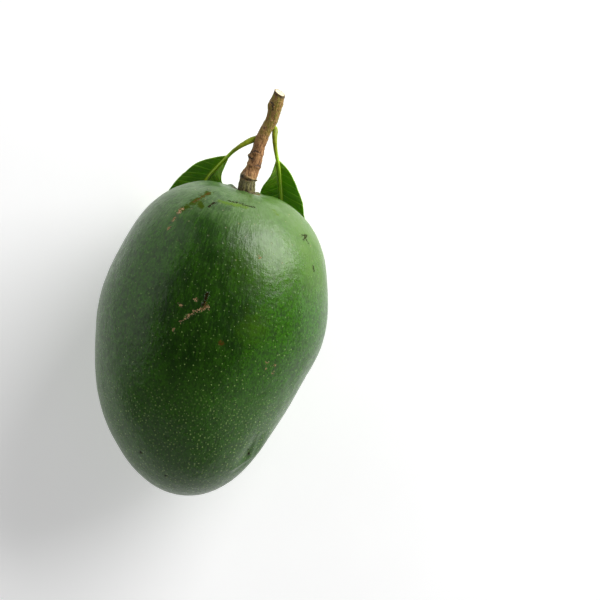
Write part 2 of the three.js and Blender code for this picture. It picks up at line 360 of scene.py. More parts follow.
# The shoulder by the beaked side had the most sun and turned yellower, in blotches.
sunned = times(
    skin_material,
    eased(skin_material, across, -12.0, 24.0),
    eased(skin_material, lengthwise, 16.0, 44.0),
    eased(skin_material, blotches, 0.3, 0.6, 0.45, 0.95),
)

# A patch of the upper cheek is yellower too, with an edge broken up by the mottling and the streaks.
patch_gap = vector_maths(skin_material, "DISTANCE", place, PATCH_MIDDLE)
patch_gap = summed(skin_material, [(mottle, 14.0), (broad_streaks, 10.0)], patch_gap)
yellow_patch = eased(skin_material, patch_gap, 22.0, 10.0, 0.0, 0.4)

# The bloom is a thin pale wax round the stem. It lies unevenly, and one patch of it is rubbed off.
rubbed_gap = vector_maths(skin_material, "DISTANCE", place, RUBBED_MIDDLE)
rubbed_gap = summed(skin_material, [(blotches, 12.0)], rubbed_gap)
bloom = times(
    skin_material,
    eased(skin_material, lengthwise, 34.0, 57.0),
    eased(skin_material, blotches, 0.35, 0.65, 0.25, 0.75),
    eased(skin_material, fine_streaks, 0.42, 0.60, 0.65, 1.1),
    eased(skin_material, mottle, 0.4, 0.65, 1.1, 0.65),
    eased(skin_material, rubbed_gap, 16.0, 8.0, 1.0, 0.15),
)


def skin_dots(spacing, radius, offset):
    """Round dots on the skin, about one to each cell of the spacing, and a random value for each dot."""
    cells = vector_maths(skin_material, "MULTIPLY_ADD", place, (1 / spacing,) * 3, offset)
    inputs = {"Vector": cells, "Scale": 1.0, "Randomness": 0.85}
    found = add_node(skin_material, "ShaderNodeTexVoronoi", inputs).outputs
    centre = vector_maths(skin_material, "SUBTRACT", found["Position"], offset)
    centre = vector_maths(skin_material, "NORMALIZE", centre)
    here = vector_maths(skin_material, "NORMALIZE", place)
    gap = vector_maths(skin_material, "DISTANCE", centre, here)
    gap = times(skin_material, gap, vector_maths(skin_material, "LENGTH", place))
    chance = add_node(skin_material, "ShaderNodeSeparateColor", {"Color": found["Color"]}).outputs
    size = eased(skin_material, chance["Red"], 0.0, 1.0, 0.55 * radius, 1.25 * radius)
    share = maths(skin_material, "DIVIDE", gap, size)
    return eased(skin_material, share, 1.0, 0.55), chance["Green"]


# Lenticels are the pale pores of the skin: close together towards the tip, few and corky near the stem.
tip_dots = skin_dots(1.8, 0.31, (3.1, 7.7, 1.3))[0]
tip_dots = times(skin_material, tip_dots, eased(skin_material, lengthwise, -12.0, -24.0))
mid_dots, mid_chance = skin_dots(2.8, 0.27, (8.3, 2.9, 5.1))
mid_dots = times(
    skin_material,
    mid_dots,
    eased(skin_material, lengthwise, -24.0, -12.0),
    eased(skin_material, lengthwise, 44.0, 34.0),
)
stem_dots, stem_chance = skin_dots(6.0, 0.34, (1.9, 4.3, 9.7))
stem_dots = times(skin_material, stem_dots, eased(skin_material, lengthwise, 30.0, 42.0))
pale_dots = maths(skin_material, "MAXIMUM", tip_dots, mid_dots)
pale_share = times(
    skin_material,
    pale_dots,
    eased(skin_material, mid_chance, 0.0, 1.0, 0.4, 1.0),
    eased(skin_material, lengthwise, 28.0, -25.0, 0.35, 1.0),
)
corky_strength = eased(skin_material, stem_chance, 0.2, 1.0, 0.1, 0.8)
corky_share = times(skin_material, stem_dots, corky_strength)

skin_colour = layered(
    skin_material,
    SHADED_CHEEK_GREEN,
    [
        (out_of_cheek_shade, OUTER_GREEN),
        (eased(skin_material, broad_streaks, 0.4, 0.7, 0.0, 0.5), STREAK_GREEN),
        (eased(skin_material, mottle, 0.42, 0.7, 0.0, 0.5), MOTTLE_GREEN),
        (eased(skin_material, fine_streaks, 0.48, 0.62, 0.0, 0.42), FINE_STREAK_GREEN),
        (eased(skin_material, speckle, 0.46, 0.60, 0.0, 0.6), SPECKLE_GREEN),
        (sunned, SHOULDER_GREEN),
        (yellow_patch, PATCH_GREEN),
        (eased(skin_material, lengthwise, 0.0, -26.0, 0.0, 0.3), TIP_GREEN),
        (bloom, BLOOM_GREEN),
        (pale_share, PALE_LENTICEL),
        (corky_share, CORKY_LENTICEL),
    ],
)

# Healed scratches, pits, corky marks and a painted shade dash are short strokes: both ends in the fruit's
# own frame, half width.
OLIVE_STROKES = [
    ((-14.8, 56.0, 15.5), (-20.1, 51.5, 19.4), 1.2),
    ((-17.5, 53.8, 17.9), (-16.6, 51.2, 21.5), 0.9),
    ((-20.1, 51.5, 19.4), (-23.4, 48.5, 20.5), 1.0),
]
PALE_STROKES = [
    ((-10.4, 53.9, 19.6), (-5.9, 53.6, 20.5), 0.8),
    ((-7.5, 53.8, 20.2), (-0.6, 53.6, 20.4), 1.1),
    ((10.4, 53.9, 16.5), (13.5, 51.4, 18.4), 0.4),
]
DARK_MARK_AND_FOLD_SHADE_STROKES = [
    ((-13.9, 51.3, 22.4), (-12.0, 53.3, 20.5), 0.34),
    ((-7.2, 54.8, 18.8), (-1.5, 54.5, 19.2), 0.26),
    ((-1.2, 54.2, 19.8), (3.1, 53.9, 19.5), 0.22),
    ((-9.3, 21.0, 36.8), (-9.6, 18.6, 37.2), 0.55),
    ((-9.6, 18.6, 37.2), (-10.2, 16.6, 37.4), 0.40),
    ((28.4, 36.1, 17.8), (29.0, 34.5, 17.8), 0.40),
    ((22.4, 46.6, 16.6), (24.5, 46.8, 13.6), 0.26),
    ((24.5, 46.8, 13.6), (23.0, 45.0, 17.6), 0.20),
    ((23.9, 45.7, 15.8), (25.2, 44.2, 15.7), 0.22),
    ((-22.8, -43.6, 19.0), (-22.9, -43.9, 18.9), 0.45),
    ((-11.9, -51.0, 17.5), (-12.0, -51.2, 17.3), 0.42),
    # Painted shade: a dark dash in the fold beside the beak.
    ((17.1, -36.0, 15.7), (17.4, -38.3, 13.6), 0.28),
]
RED_STROKES = [
    ((-1.4, 4.2, 38.1), (-1.0, 3.7, 38.1), 0.58),
    ((-9.0, 17.6, 37.5), (-9.8, 15.4, 37.6), 0.45),
    ((-14.6, 56.1, 15.6), (-16.4, 54.7, 17.2), 0.45),
    ((-17.4, 53.9, 18.0), (-19.4, 52.2, 19.2), 0.50),
]
CORK_STROKES = [
    ((-8.2, 16.2, 37.7), (-10.4, 15.0, 37.6), 0.46),
    ((-10.4, 15.0, 37.6), (-13.0, 13.4, 37.5), 0.30),
    ((-13.0, 13.4, 37.5), (-16.9, 9.2, 37.1), 0.20),
    ((-12.9, 17.9, 36.9), (-13.0, 18.1, 36.9), 0.42),
    ((-18.0, 15.1, 36.2), (-18.2, 15.2, 36.2), 0.36),
    ((-19.3, 5.6, 36.5), (-19.3, 5.8, 36.5), 0.38),
    ((-23.4, 48.6, 20.4), (-24.2, 47.5, 21.0), 0.80),
    ((-25.4, 45.2, 22.2), (-25.8, 44.2, 22.5), 0.42),
    ((-27.0, 41.2, 23.7), (-27.1, 41.0, 23.7), 0.50),
    ((16.9, -0.8, 31.8), (17.0, -0.9, 31.8), 0.36),
    ((20.0, -1.5, 29.6), (20.1, -1.5, 29.5), 0.30),
    ((17.0, -3.2, 31.1), (17.1, -3.3, 31.1), 0.24),
    ((19.9, -4.4, 28.9), (20.0, -4.5, 28.9), 0.26),
    ((7.0, 37.2, 31.7), (7.6, 36.9, 31.7), 0.26),
]
# Brown cork also grows round the foot of the stem.
STEM_FOOT = (-0.3, 57.5, 0.0)
OLIVE_MARK = (0.034, 0.062, 0.0003, 1)
PALE_MARK = (0.085, 0.165, 0.006, 1)
CORK_BROWN = (0.19, 0.10, 0.040, 1)
CORK_TAN = (0.46, 0.31, 0.16, 1)
RED_MARK = (0.085, 0.038, 0.004, 1)
DARK_MARK_AND_FOLD_SHADE = (0.015, 0.008, 0.0005, 1)
STEM_CORK = (0.16, 0.105, 0.045, 1)
SKIN_SHINE = 0.4
MARK_SHINE = 0.05


def strokes_share(material, here, strokes, ragged_edge, soft=0.14):
    """1 inside any of the strokes and 0 outside, with an edge of the given softness made uneven."""
    nearest = None
    for start, end, half in strokes:
        reach = Vector(end) - Vector(start)
        offset = vector_maths(material, "SUBTRACT", here, start)
        going = vector_maths(material, "DOT_PRODUCT", offset, reach / reach.length_squared)
        going = add_node(material, "ShaderNodeClamp", {"Value": going}).outputs[0]
        gap = vector_maths(material, "DISTANCE", offset, scaled(material, reach, going))
        gap = maths(material, "SUBTRACT", gap, half)
        nearest = gap if nearest is None else maths(material, "MINIMUM", nearest, gap)
    return eased(material, maths(material, "ADD", nearest, ragged_edge), soft, -soft)


olive_marks = strokes_share(skin_material, place, OLIVE_STROKES, ragged(skin_material, place, 2.2, 8.0), 0.8)
pale_marks = strokes_share(skin_material, place, PALE_STROKES, ragged(skin_material, place, 2.0, 6.5), 0.7)
cork_marks = strokes_share(skin_material, place, CORK_STROKES, ragged(skin_material, place, 0.8, 5.0), 0.2)
dark_marks_and_fold_shade = strokes_share(skin_material, place, DARK_MARK_AND_FOLD_SHADE_STROKES, ragged(skin_material, place, 0.7, 3.2), 0.2)
red_marks = strokes_share(skin_material, place, RED_STROKES, ragged(skin_material, place, 0.7, 5.0), 0.4)
stem_gap = vector_maths(skin_material, "DISTANCE", place, STEM_FOOT)
cork_edge = maths(skin_material, "ADD", ragged(skin_material, place, 1.6, 12.0), stem_gap)
stem_cork = eased(skin_material, cork_edge, 6.2, 4.6, 0.0, 0.85)
cork_grain = clouds(skin_material, place, 0.6, rough=0.7)
cork_colour = graded(skin_material, cork_grain, 0.38, 0.58, CORK_BROWN, CORK_TAN)
skin_colour = layered(
    skin_material,
    skin_colour,
    [
        (times(skin_material, olive_marks, 0.95), OLIVE_MARK),
        (times(skin_material, pale_marks, 0.85), PALE_MARK),
        (times(skin_material, cork_marks, 0.9), cork_colour),
        (times(skin_material, red_marks, 0.85), RED_MARK),
        (times(skin_material, dark_marks_and_fold_shade, 0.95), DARK_MARK_AND_FOLD_SHADE),
        (stem_cork, STEM_CORK),
    ],
)

# The wax makes the skin smooth. Bloom and marks are rougher, and the marks shine less.
rough_marks = chained(
    skin_material,
    "MAXIMUM",
    cork_marks,
    dark_marks_and_fold_shade,
    stem_cork,
    olive_marks,
    times(skin_material, pale_marks, 0.5),
    times(skin_material, red_marks, 0.8),
)
smooth_wax = eased(skin_material, mottle, 0.3, 0.7, 0.25, 0.34)
skin_height = summed(
    skin_material,
    [
        (fine_streaks, 0.075),
        (mottle, 0.2),
        (speckle, -0.03),
        (clouds(skin_material, place, 6.0, detail=2.0), 0.12),
        (pale_dots, 0.03),
        (stem_dots, 0.06),
        (cork_marks, 0.10),
        (pale_marks, -0.08),
        (dark_marks_and_fold_shade, -0.12),
    ],
)
# The export drops the link to the shine and takes the number on the socket.
skin_shader.inputs["Specular IOR Level"].default_value = SKIN_SHINE
fill_inputs(
    skin_material,
    skin_shader,
    {
        "Base Color": skin_colour,
        "Roughness": summed(skin_material, [(bloom, 0.15), (rough_marks, 0.3)], smooth_wax),
        "Specular IOR Level": eased(skin_material, rough_marks, 0.0, 1.0, SKIN_SHINE, MARK_SHINE),
        "Normal": relief(skin_material, skin_height),
    },
)

fruit = finished_object("mango_body", shape, [skin_material])
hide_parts("fruit")
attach(fruit, "root")

# Stem
# A woody twig left on the fruit: thin ridged bark with growth rings, knobs where shoots were shed, and an
# oblique cut at its end that shows the cream wood. It grows out of the hollow of the fruit.
STEM_PATH = [
    (-0.3, 58.3, 0.0),
    (-0.5, 63.4, 0.2),
    (0.5, 66.8, 0.4),
    (1.1, 70.5, 0.8),
    (1.6, 77.2, 1.6),
    (2.9, 82.6, 2.4),
    (4.3, 86.6, 3.0),
    (4.8, 92.3, 4.1),
    (5.4, 97.2, 5.3),
]
STEM_RADII = [3.3, 3.05, 2.6, 2.3, 2.3, 2.2, 2.3, 2.6, 2.2]
STEM_ROWS = 240
STEM_ROUND = 96
STEM_FOOT_ROWS = 4
STEM_CUT_ROWS = 14
STEM_CUT_ACROSS = math.tan(math.radians(15))
STEM_CUT_UP = math.tan(math.radians(8))
STEM_CUT_DISH = 0.12
# The rows of the stem lean over to its slanting cut from this share of its length.
STEM_LEAN_FROM = 0.9
STEM_GIRTH = 14.5
# The millimetres that one unit of a UV map stands for.
MAP_UNIT = 100.0
CURVE_STEPS = 40
# Growth rings: distance along the stem, height and width.
STEM_RINGS = [(5.5, 0.22, 0.5), (10.4, 0.22, 0.5), (15.4, 0.20, 0.6), (21.5, 0.08, 0.4), (29.0, 0.08, 0.4)]
# Knobs: distance along the stem, angle round it, height and width.
STEM_KNOBS = [
    (5.2, math.radians(5), 0.6, 0.6),
    (5.6, math.radians(70), 0.3, 0.5),
    (6.0, math.radians(130), 0.25, 0.5),
    (10.2, math.radians(40), 0.35, 0.7),
    (13.7, math.radians(176), 1.0, 1.2),
    (15.4, math.radians(140), 0.35, 0.7),
    (34.4, math.radians(160), 0.5, 1.5),
]
# Ridges, cracks and lumps of the bark: waves round the stem, waves along it, their start and their height.
BARK_WAVES = [
    (3.12, 0.364, (0, 0, 0), 0.10),
    (7.44, 0.868, (5, 3, 1), 0.12),
    (4.8, 2.2, (0, 0, 0), 0.07),
    (2.16, 0.9, (0, 0, 0), 0.10),
]


def curve_through(points):
    """The smooth centripetal curve through a list of points, as close-set points and their distances."""
    knots = [Vector(p) for p in points]
    knots = [2 * knots[0] - knots[1]] + knots + [2 * knots[-1] - knots[-2]]
    line = [knots[1]]
    for p0, p1, p2, p3 in zip(knots, knots[1:], knots[2:], knots[3:]):
        dt0 = math.sqrt((p1 - p0).length)
        dt1 = math.sqrt((p2 - p1).length)
        dt2 = math.sqrt((p3 - p2).length)
        leaving = ((p1 - p0) / dt0 - (p2 - p0) / (dt0 + dt1) + (p2 - p1) / dt1) * dt1
        arriving = ((p2 - p1) / dt1 - (p3 - p1) / (dt1 + dt2) + (p3 - p2) / dt2) * dt1
        for step in range(1, CURVE_STEPS + 1):
            t = step / CURVE_STEPS
            line.append(
                (2 * t**3 - 3 * t**2 + 1) * p1
                + (t**3 - 2 * t**2 + t) * leaving
                + (3 * t**2 - 2 * t**3) * p2
                + (t**3 - t**2) * arriving
            )
    distances = [0.0]
    for near, far in zip(line, line[1:]):
        distances.append(distances[-1] + (far - near).length)
    return line, distances


def curve_point(curve, at):
    """The point of a curve at a share of its length."""
    line, distances = curve
    wanted = min(max(at, 0.0), 1.0) * distances[-1]
    low = 0
    high = len(line) - 1
    while high - low > 1:
        middle = (low + high) // 2
        if distances[middle] <= wanted:
            low = middle
        else:
            high = middle
    share = (wanted - distances[low]) / (distances[high] - distances[low])
    return line[low].lerp(line[high], share)


def curve_direction(curve, at, reach=0.004):
    """The direction of a curve at a share of its length."""
    ahead = curve_point(curve, min(at + reach, 1.0))
    return (ahead - curve_point(curve, max(at - reach, 0.0))).normalized()


def smooth_step(value):
    """0 below 0 and 1 above 1, with a smooth way between them."""
    value = min(max(value, 0.0), 1.0)
    return value * value * (3 - 2 * value)


def value_along(values, at):
    """A value read along an evenly spaced list, with a smooth step between entries."""
    going = min(max(at, 0.0), 1.0) * (len(values) - 1)
    i = min(int(going), len(values) - 2)
    return values[i] + (values[i + 1] - values[i]) * smooth_step(going - i)


shape = bmesh.new()
bmesh.ops.create_grid(shape, x_segments=STEM_ROWS, y_segments=STEM_ROUND, size=0.5, calc_uvs=False)
stem_map = shape.loops.layers.uv.new("stem_map")
stem_curve = curve_through(STEM_PATH)
stem_length = stem_curve[1][-1]
side_rows = STEM_ROWS - STEM_FOOT_ROWS - STEM_CUT_ROWS
for face in shape.faces:
    for loop in face.loops:
        row = (loop.vert.co.x + 0.5) * STEM_ROWS - STEM_FOOT_ROWS
        around = (loop.vert.co.y + 0.5) * STEM_GIRTH
        upward = row / side_rows * stem_length
        loop[stem_map].uv = (around / MAP_UNIT, upward / MAP_UNIT)
    if face.calc_center_median().x > 0.5 - STEM_CUT_ROWS / STEM_ROWS:
        face.material_index = 1
for vert in shape.verts:
    row = round((vert.co.x + 0.5) * STEM_ROWS) - STEM_FOOT_ROWS
    round_it = math.tau * (vert.co.y + 0.5)
    at = min(max(row / side_rows, 0.0), 1.0)
    distance = at * stem_length
    radius = value_along(STEM_RADII, at)
    for ring_at, ring_height, ring_width in STEM_RINGS:
        radius += ring_height * bump(distance - ring_at, ring_width)
    for knob_at, knob_round, knob_height, knob_width in STEM_KNOBS:
        knob = bump(distance - knob_at, knob_width)
        radius += knob_height * knob * bump(turn_between(round_it, knob_round) * radius, knob_width)
    for waves_round, waves_along, wave_start, wave_height in BARK_WAVES:
        wave_place = Vector(
            (math.cos(round_it) * waves_round, math.sin(round_it) * waves_round, distance * waves_along)
        )
        radius += wave_height * noise.noise(wave_place + Vector(wave_start))
    shrink = 1.0
    if row < 0:
        shrink = 1 + row / STEM_FOOT_ROWS
    past_side = row - side_rows
    if past_side > 0:
        shrink = 1 - past_side / STEM_CUT_ROWS
    across_stem = radius * shrink * math.cos(round_it)
    up_stem = radius * shrink * math.sin(round_it)
    forward = curve_direction(stem_curve, at)
    up = Vector((1, 0, 0)).cross(forward).normalized()
    side = forward.cross(up).normalized()
    cut_fade = smooth_step((at - STEM_LEAN_FROM) / (1 - STEM_LEAN_FROM))
    centre = curve_point(stem_curve, at)
    onward = -cut_fade * (STEM_CUT_ACROSS * across_stem + STEM_CUT_UP * up_stem)
    if past_side > 0:
        onward -= STEM_CUT_DISH * math.sin(math.pi * min(shrink * 1.6, 1.0)) * (1 - shrink)
    vert.co = lying @ (centre + side * across_stem + up * up_stem + forward * onward)
bmesh.ops.remove_doubles(shape, verts=shape.verts, dist=0.0005)
bmesh.ops.dissolve_degenerate(shape, dist=0.0002, edges=shape.edges)
bmesh.ops.recalc_face_normals(shape, faces=shape.faces)

# Bark: dark grey-green at the foot, orange brown in the middle, olive streaked with a grey side above.
FOOT_DARK = (0.042, 0.042, 0.010, 1)
FOOT_PALE = (0.23, 0.205, 0.065, 1)
MIDDLE_DARK = (0.23, 0.095, 0.028, 1)
MIDDLE_PALE = (0.56, 0.29, 0.11, 1)
UPPER_TAN = (0.42, 0.215, 0.065, 1)
UPPER_OLIVE = (0.24, 0.195, 0.020, 1)
BARK_GREY = (0.20, 0.15, 0.10, 1)
BARK_CRUST = (0.46, 0.34, 0.20, 1)
BARK_FURROW = (0.06, 0.032, 0.012, 1)
BARK_CRACK = (0.035, 0.018, 0.008, 1)
CUT_RIM = (0.05, 0.035, 0.018, 1)
BARK_STRETCH = (1.0, 0.25, 1.0)
# Cracks at the growth rings and the scar of a shed shoot: both ends round the twig and up it, half width.
BARK_LINES = [
    ((0.6, 4.6, 0), (2.4, 5.0, 0), 0.16),
    ((2.4, 5.0, 0), (4.4, 4.6, 0), 0.26),
    ((4.6, 5.3, 0), (6.8, 5.0, 0), 0.20),
    ((0.7, 10.9, 0), (2.4, 11.2, 0), 0.34),
    ((2.4, 11.2, 0), (4.2, 10.6, 0), 0.10),
    ((3.0, 15.9, 0), (4.6, 16.2, 0), 0.20),
    ((4.6, 16.2, 0), (6.8, 14.8, 0), 0.24),
    ((5.0, 13.0, 0), (6.9, 13.2, 0), 0.22),
    ((4.6, 33.6, 0), (4.9, 35.6, 0), 0.24),
    ((4.9, 35.6, 0), (6.0, 35.9, 0), 0.18),
]


def map_place(material, map_name):
    """The place on a piece's own UV map, in millimetres."""
    on_map = add_node(material, "ShaderNodeUVMap", {}, uv_map=map_name).outputs[0]
    return scaled(material, on_map, MAP_UNIT)


def piece_place(material):
    """The place on a piece in the part's frame, in millimetres."""
    here = add_node(material, "ShaderNodeTexCoord", {}).outputs["Object"]
    return scaled(material, here, 1 / MILLIMETRE)


bark_material, bark_shader = new_material("twig bark")
bark_map = map_place(bark_material, "stem_map")
up_twig = axes(bark_material, bark_map)["Y"]
bark_here = piece_place(bark_material)
bark_stretch = vector_maths(bark_material, "MULTIPLY", bark_here, BARK_STRETCH)
bark_streaks = clouds(bark_material, bark_stretch, 0.7, detail=4.0, rough=0.65)
bark_blotches = clouds(bark_material, bark_here, 2.6, detail=4.0, rough=0.65)
bark_specks = clouds(bark_material, bark_here, 0.45, rough=0.7)
foot_colour = graded(bark_material, bark_streaks, 0.35, 0.7, FOOT_DARK, FOOT_PALE)
middle_colour = graded(bark_material, bark_streaks, 0.35, 0.68, MIDDLE_DARK, MIDDLE_PALE)
upper_colour = graded(bark_material, bark_streaks, 0.38, 0.58, UPPER_TAN, UPPER_OLIVE)
zone_at = summed(bark_material, [(centred(bark_material, bark_blotches), 11.0)], up_twig)
bark_axes = axes(bark_material, bark_here)
grey_side = summed(bark_material, [(bark_axes["Y"], -0.12), (bark_blotches, 3.0)], bark_axes["X"])
bark_cracks = strokes_share(bark_material, bark_map, BARK_LINES, ragged(bark_material, bark_here, 0.9, 2.8))
bark_colour = layered(
    bark_material,
    foot_colour,
    [
        (eased(bark_material, zone_at, 3.4, 7.6), middle_colour),
        (eased(bark_material, zone_at, 19.0, 27.0), upper_colour),
        (eased(bark_material, grey_side, 0.0, -2.5, 0.0, 0.35), BARK_GREY),
        (eased(bark_material, bark_specks, 0.6, 0.72, 0.0, 0.5), BARK_CRUST),
        (eased(bark_material, bark_streaks, 0.45, 0.32, 0.0, 0.75), BARK_FURROW),
        (times(bark_material, bark_cracks, 0.85), BARK_CRACK),
        (eased(bark_material, up_twig, stem_length - 1.6, stem_length - 0.5, 0.0, 0.75), CUT_RIM),
    ],
)
bark_height = summed(bark_material, [(bark_streaks, 0.65), (bark_specks, 0.3), (bark_cracks, -0.35)])
fill_inputs(
    bark_material,
    bark_shader,
    {
        "Base Color": bark_colour,
        "Roughness": eased(bark_material, bark_blotches, 0.3, 0.7, 0.62, 0.85),
        "Normal": relief(bark_material, bark_height),
    },
)

# Cut wood: pale and fibrous, a little darker at the pith and just under the bark.
WOOD_DARK = (0.62, 0.50, 0.30, 1)
WOOD_PALE = (0.86, 0.76, 0.52, 1)
PITH_BROWN = (0.34, 0.22, 0.10, 1)
UNDER_BARK = (0.16, 0.11, 0.05, 1)
wood_material, wood_shader = new_material("cut wood")
wood_rows = axes(wood_material, map_place(wood_material, "stem_map"))["Y"]
# 0 at the rim of the cut and 1 at its middle.
wood_inward = maths(wood_material, "MULTIPLY_ADD", wood_rows, side_rows / stem_length, -side_rows)
wood_inward = maths(wood_material, "DIVIDE", wood_inward, STEM_CUT_ROWS)
wood_grain = clouds(wood_material, piece_place(wood_material), 0.35, detail=4.0, rough=0.7)
wood_colour = layered(
    wood_material,
    graded(wood_material, wood_grain, 0.3, 0.7, WOOD_DARK, WOOD_PALE),
    [
        (eased(wood_material, wood_inward, 0.78, 0.95, 0.0, 0.6), PITH_BROWN),
        (eased(wood_material, wood_inward, 0.22, 0.06), UNDER_BARK),
    ],
)
fill_inputs(
    wood_material,
    wood_shader,
    {
        "Base Color": wood_colour,
        "Roughness": eased(wood_material, wood_grain, 0.3, 0.7, 0.6, 0.8),
        "Normal": relief(wood_material, times(wood_material, wood_grain, 0.12)),
    },
)

stem = finished_object("mango_twig", shape, [bark_material, wood_material])
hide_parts("stem")
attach(stem, "root")

# Leaves
# Two narrow leathery leaves grow on the stem by short stalks. Each blade is folded a little along its pale
# midrib, waved at its edges and quilted between its side veins, and hangs down beside the fruit.
# The fold and roll of a blade are given at its foot and further on. Its wave starts at an angle, and the
# side that is wider than the other one is widened by a factor.
LEAVES = {
    "leaf_left": {
        "foot": (6.9, 75.0, 44.6),
        "stalk": [
            (5.4, 74.3, 44.9),
            (4.6, 73.9, 44.9),
            (2.8, 72.5, 45.4),
            (0.5, 70.6, 45.2),
            (-1.6, 68.5, 43.8),
        ],
        "midrib": [
            (-3.3, 66.4, 41.2),
            (-6.3, 62.7, 35.2),
            (-9.3, 58.9, 27.2),
            (-10.9, 56.2, 20.6),
            (-13.6, 51.2, 13.2),
            (-17.2, 44.8, 8.8),
            (-21.4, 37.4, 5.2),
            (-25.6, 29.0, 3.1),
            (-29.4, 20.2, 1.8),
            (-32.6, 11.4, 1.0),
            (-34.8, 4.6, 1.2),
        ],
        "fold": (math.radians(28), math.radians(7)),
        "roll": (math.radians(12), math.radians(-14)),
        "wave_start": 0.4,
        "widening": 1.07,
    },
    "leaf_right": {
        "foot": (11.4, 81.0, 44.6),
        "stalk": [
            (11.9, 80.1, 44.8),
            (12.6, 79.5, 44.3),
            (13.1, 76.6, 45.0),
            (13.8, 73.4, 44.9),
            (14.7, 70.6, 43.7),
        ],
        "midrib": [
            (15.6, 68.2, 41.6),
            (16.8, 64.7, 36.4),
            (17.7, 61.2, 31.0),
            (18.6, 57.6, 25.2),
            (19.3, 54.4, 20.0),
            (20.6, 48.4, 12.6),
            (23.2, 41.6, 7.8),
            (26.4, 33.4, 4.6),
            (29.4, 24.6, 2.7),
            (32.0, 15.4, 1.5),
            (33.8, 6.4, 0.9),
            (34.6, -0.4, 1.2),
        ],
        "fold": (math.radians(20), math.radians(9)),
        "roll": (math.radians(-12), math.radians(12)),
        "wave_start": 2.1,
        "widening": 1.0,
    },
}
LEAF_HALF_WIDTH = 9.4
# These powers move the widest place of a blade towards its foot and make its ends slimmer.
FOOTWARD_POWER = 0.777
SLIM_END_POWER = 1.05
# A blade is cut off bluntly by this share of its length at each end.
BLUNT_END = 0.002
WAVE_HEIGHT = 0.55
WAVE_COUNT = 4.5
WAVE_LAG = 1.3
SIDE_VEIN_SPACING = 4.4
SIDE_VEIN_LEAN = 0.55
# A blade goes over from its first roll and fold to the second on this stretch of its length.
SETTLE_FROM = 0.06
SETTLE_OVER = 0.15
QUILT_HEIGHT = 0.10
QUILT_OFF_MIDRIB = 3.0
QUILT_OFF_MARGIN = 2.0
MIDRIB_GROOVE_DEPTH = 0.25
MIDRIB_GROOVE_WIDTH = 0.9
BLADE_THICKNESS = 0.45
BLADE_ROWS = 240
BLADE_COLUMNS = 44
SURFACE_GAP = 0.02
STALK_RADII = [1.25, 1.15, 0.95, 0.78, 0.72, 0.7]
MIDRIB_TIP_RADIUS = 0.28
RIB_GIRTH = 4.0
RIB_UNEVENNESS = 0.06
RIB_ROWS = 200
RIB_ROUND = 20


def blade_half_width(at):
    """Half the width of a blade, at a share of its length."""
    return LEAF_HALF_WIDTH * math.sin(math.pi * at**FOOTWARD_POWER) ** SLIM_END_POWER


def leaf_directions(curve, at, roll):
    """The directions across a blade and up from its face, at a share of the curve's length."""
    forward = curve_direction(curve, at)
    level = Vector((-forward.y, forward.x, 0)).normalized()
    face = forward.cross(level).normalized()
    if face.z < 0:
        face.negate()
    side = face.cross(forward).normalized()
    turned = Matrix.Rotation(roll, 3, forward)
    return turned @ side, turned @ face


# Blade: leathery, deep green with a satin gloss, paler veins and a thin yellow-green margin.
BLADE_DARK = (0.085, 0.195, 0.0004, 1)
BLADE_PALE = (0.165, 0.31, 0.0008, 1)
BLADE_GRAIN = (0.155, 0.31, 0.003, 1)
SMALL_VEIN = (0.14, 0.30, 0.03, 1)
SIDE_VEIN = (0.32, 0.46, 0.05, 1)
BY_MIDRIB = (0.26, 0.33, 0.02, 1)
MARGIN = (0.22, 0.30, 0.03, 1)
blade_material, blade_shader = new_material("leaf blade")
blade_map = map_place(blade_material, "leaf_map")
blade_axes = axes(blade_material, blade_map)
off_midrib = maths(blade_material, "ABSOLUTE", blade_axes["X"])
off_margin = add_node(blade_material, "ShaderNodeAttribute", {}, attribute_name="edge_gap").outputs["Fac"]
blade_here = piece_place(blade_material)
blade_clouds = clouds(blade_material, blade_here, 9.0, detail=4.0, rough=0.6)
blade_grain = clouds(blade_material, blade_here, 0.9, detail=4.0, rough=0.7)
vein_phase = summed(blade_material, [(off_midrib, -SIDE_VEIN_LEAN), (blade_clouds, 1.6)], blade_axes["Y"])
vein_phase = maths(blade_material, "DIVIDE", vein_phase, SIDE_VEIN_SPACING)
vein_gap = maths(blade_material, "PINGPONG", vein_phase, 0.5)
side_veins = eased(blade_material, vein_gap, 0.085, 0.02)
vein_strength = eased(blade_material, clouds(blade_material, blade_here, 5.0), 0.35, 0.65, 0.4, 1.0)
net_inputs = {"Vector": blade_map, "Scale": 1.1, "Randomness": 1.0}
small_net = add_node(blade_material, "ShaderNodeTexVoronoi", net_inputs, feature="DISTANCE_TO_EDGE")
small_net = eased(blade_material, small_net.outputs["Distance"], 0.07, 0.01)
blade_colour = layered(
    blade_material,
    graded(blade_material, blade_clouds, 0.3, 0.7, BLADE_DARK, BLADE_PALE),
    [
        (eased(blade_material, blade_grain, 0.5, 0.8, 0.0, 0.5), BLADE_GRAIN),
        (times(blade_material, small_net, 0.25), SMALL_VEIN),
        (times(blade_material, side_veins, vein_strength), SIDE_VEIN),
        (eased(blade_material, off_midrib, 1.5, 0.5, 0.0, 0.8), BY_MIDRIB),
        (eased(blade_material, off_margin, 0.3, 0.1, 0.0, 0.2), MARGIN),
    ],
)
blade_height = summed(blade_material, [(side_veins, -0.10), (small_net, -0.03), (blade_grain, 0.06)])
fill_inputs(
    blade_material,
    blade_shader,
    {
        "Base Color": blade_colour,
        "Roughness": eased(blade_material, blade_grain, 0.3, 0.7, 0.42, 0.58),
        "Specular IOR Level": 0.16,
        "Subsurface Weight": 0.5,
        "Subsurface Radius": (0.8, 1.4, 0.2),
        "Subsurface Scale": MILLIMETRE,
        "Normal": relief(blade_material, blade_height),
    },
)

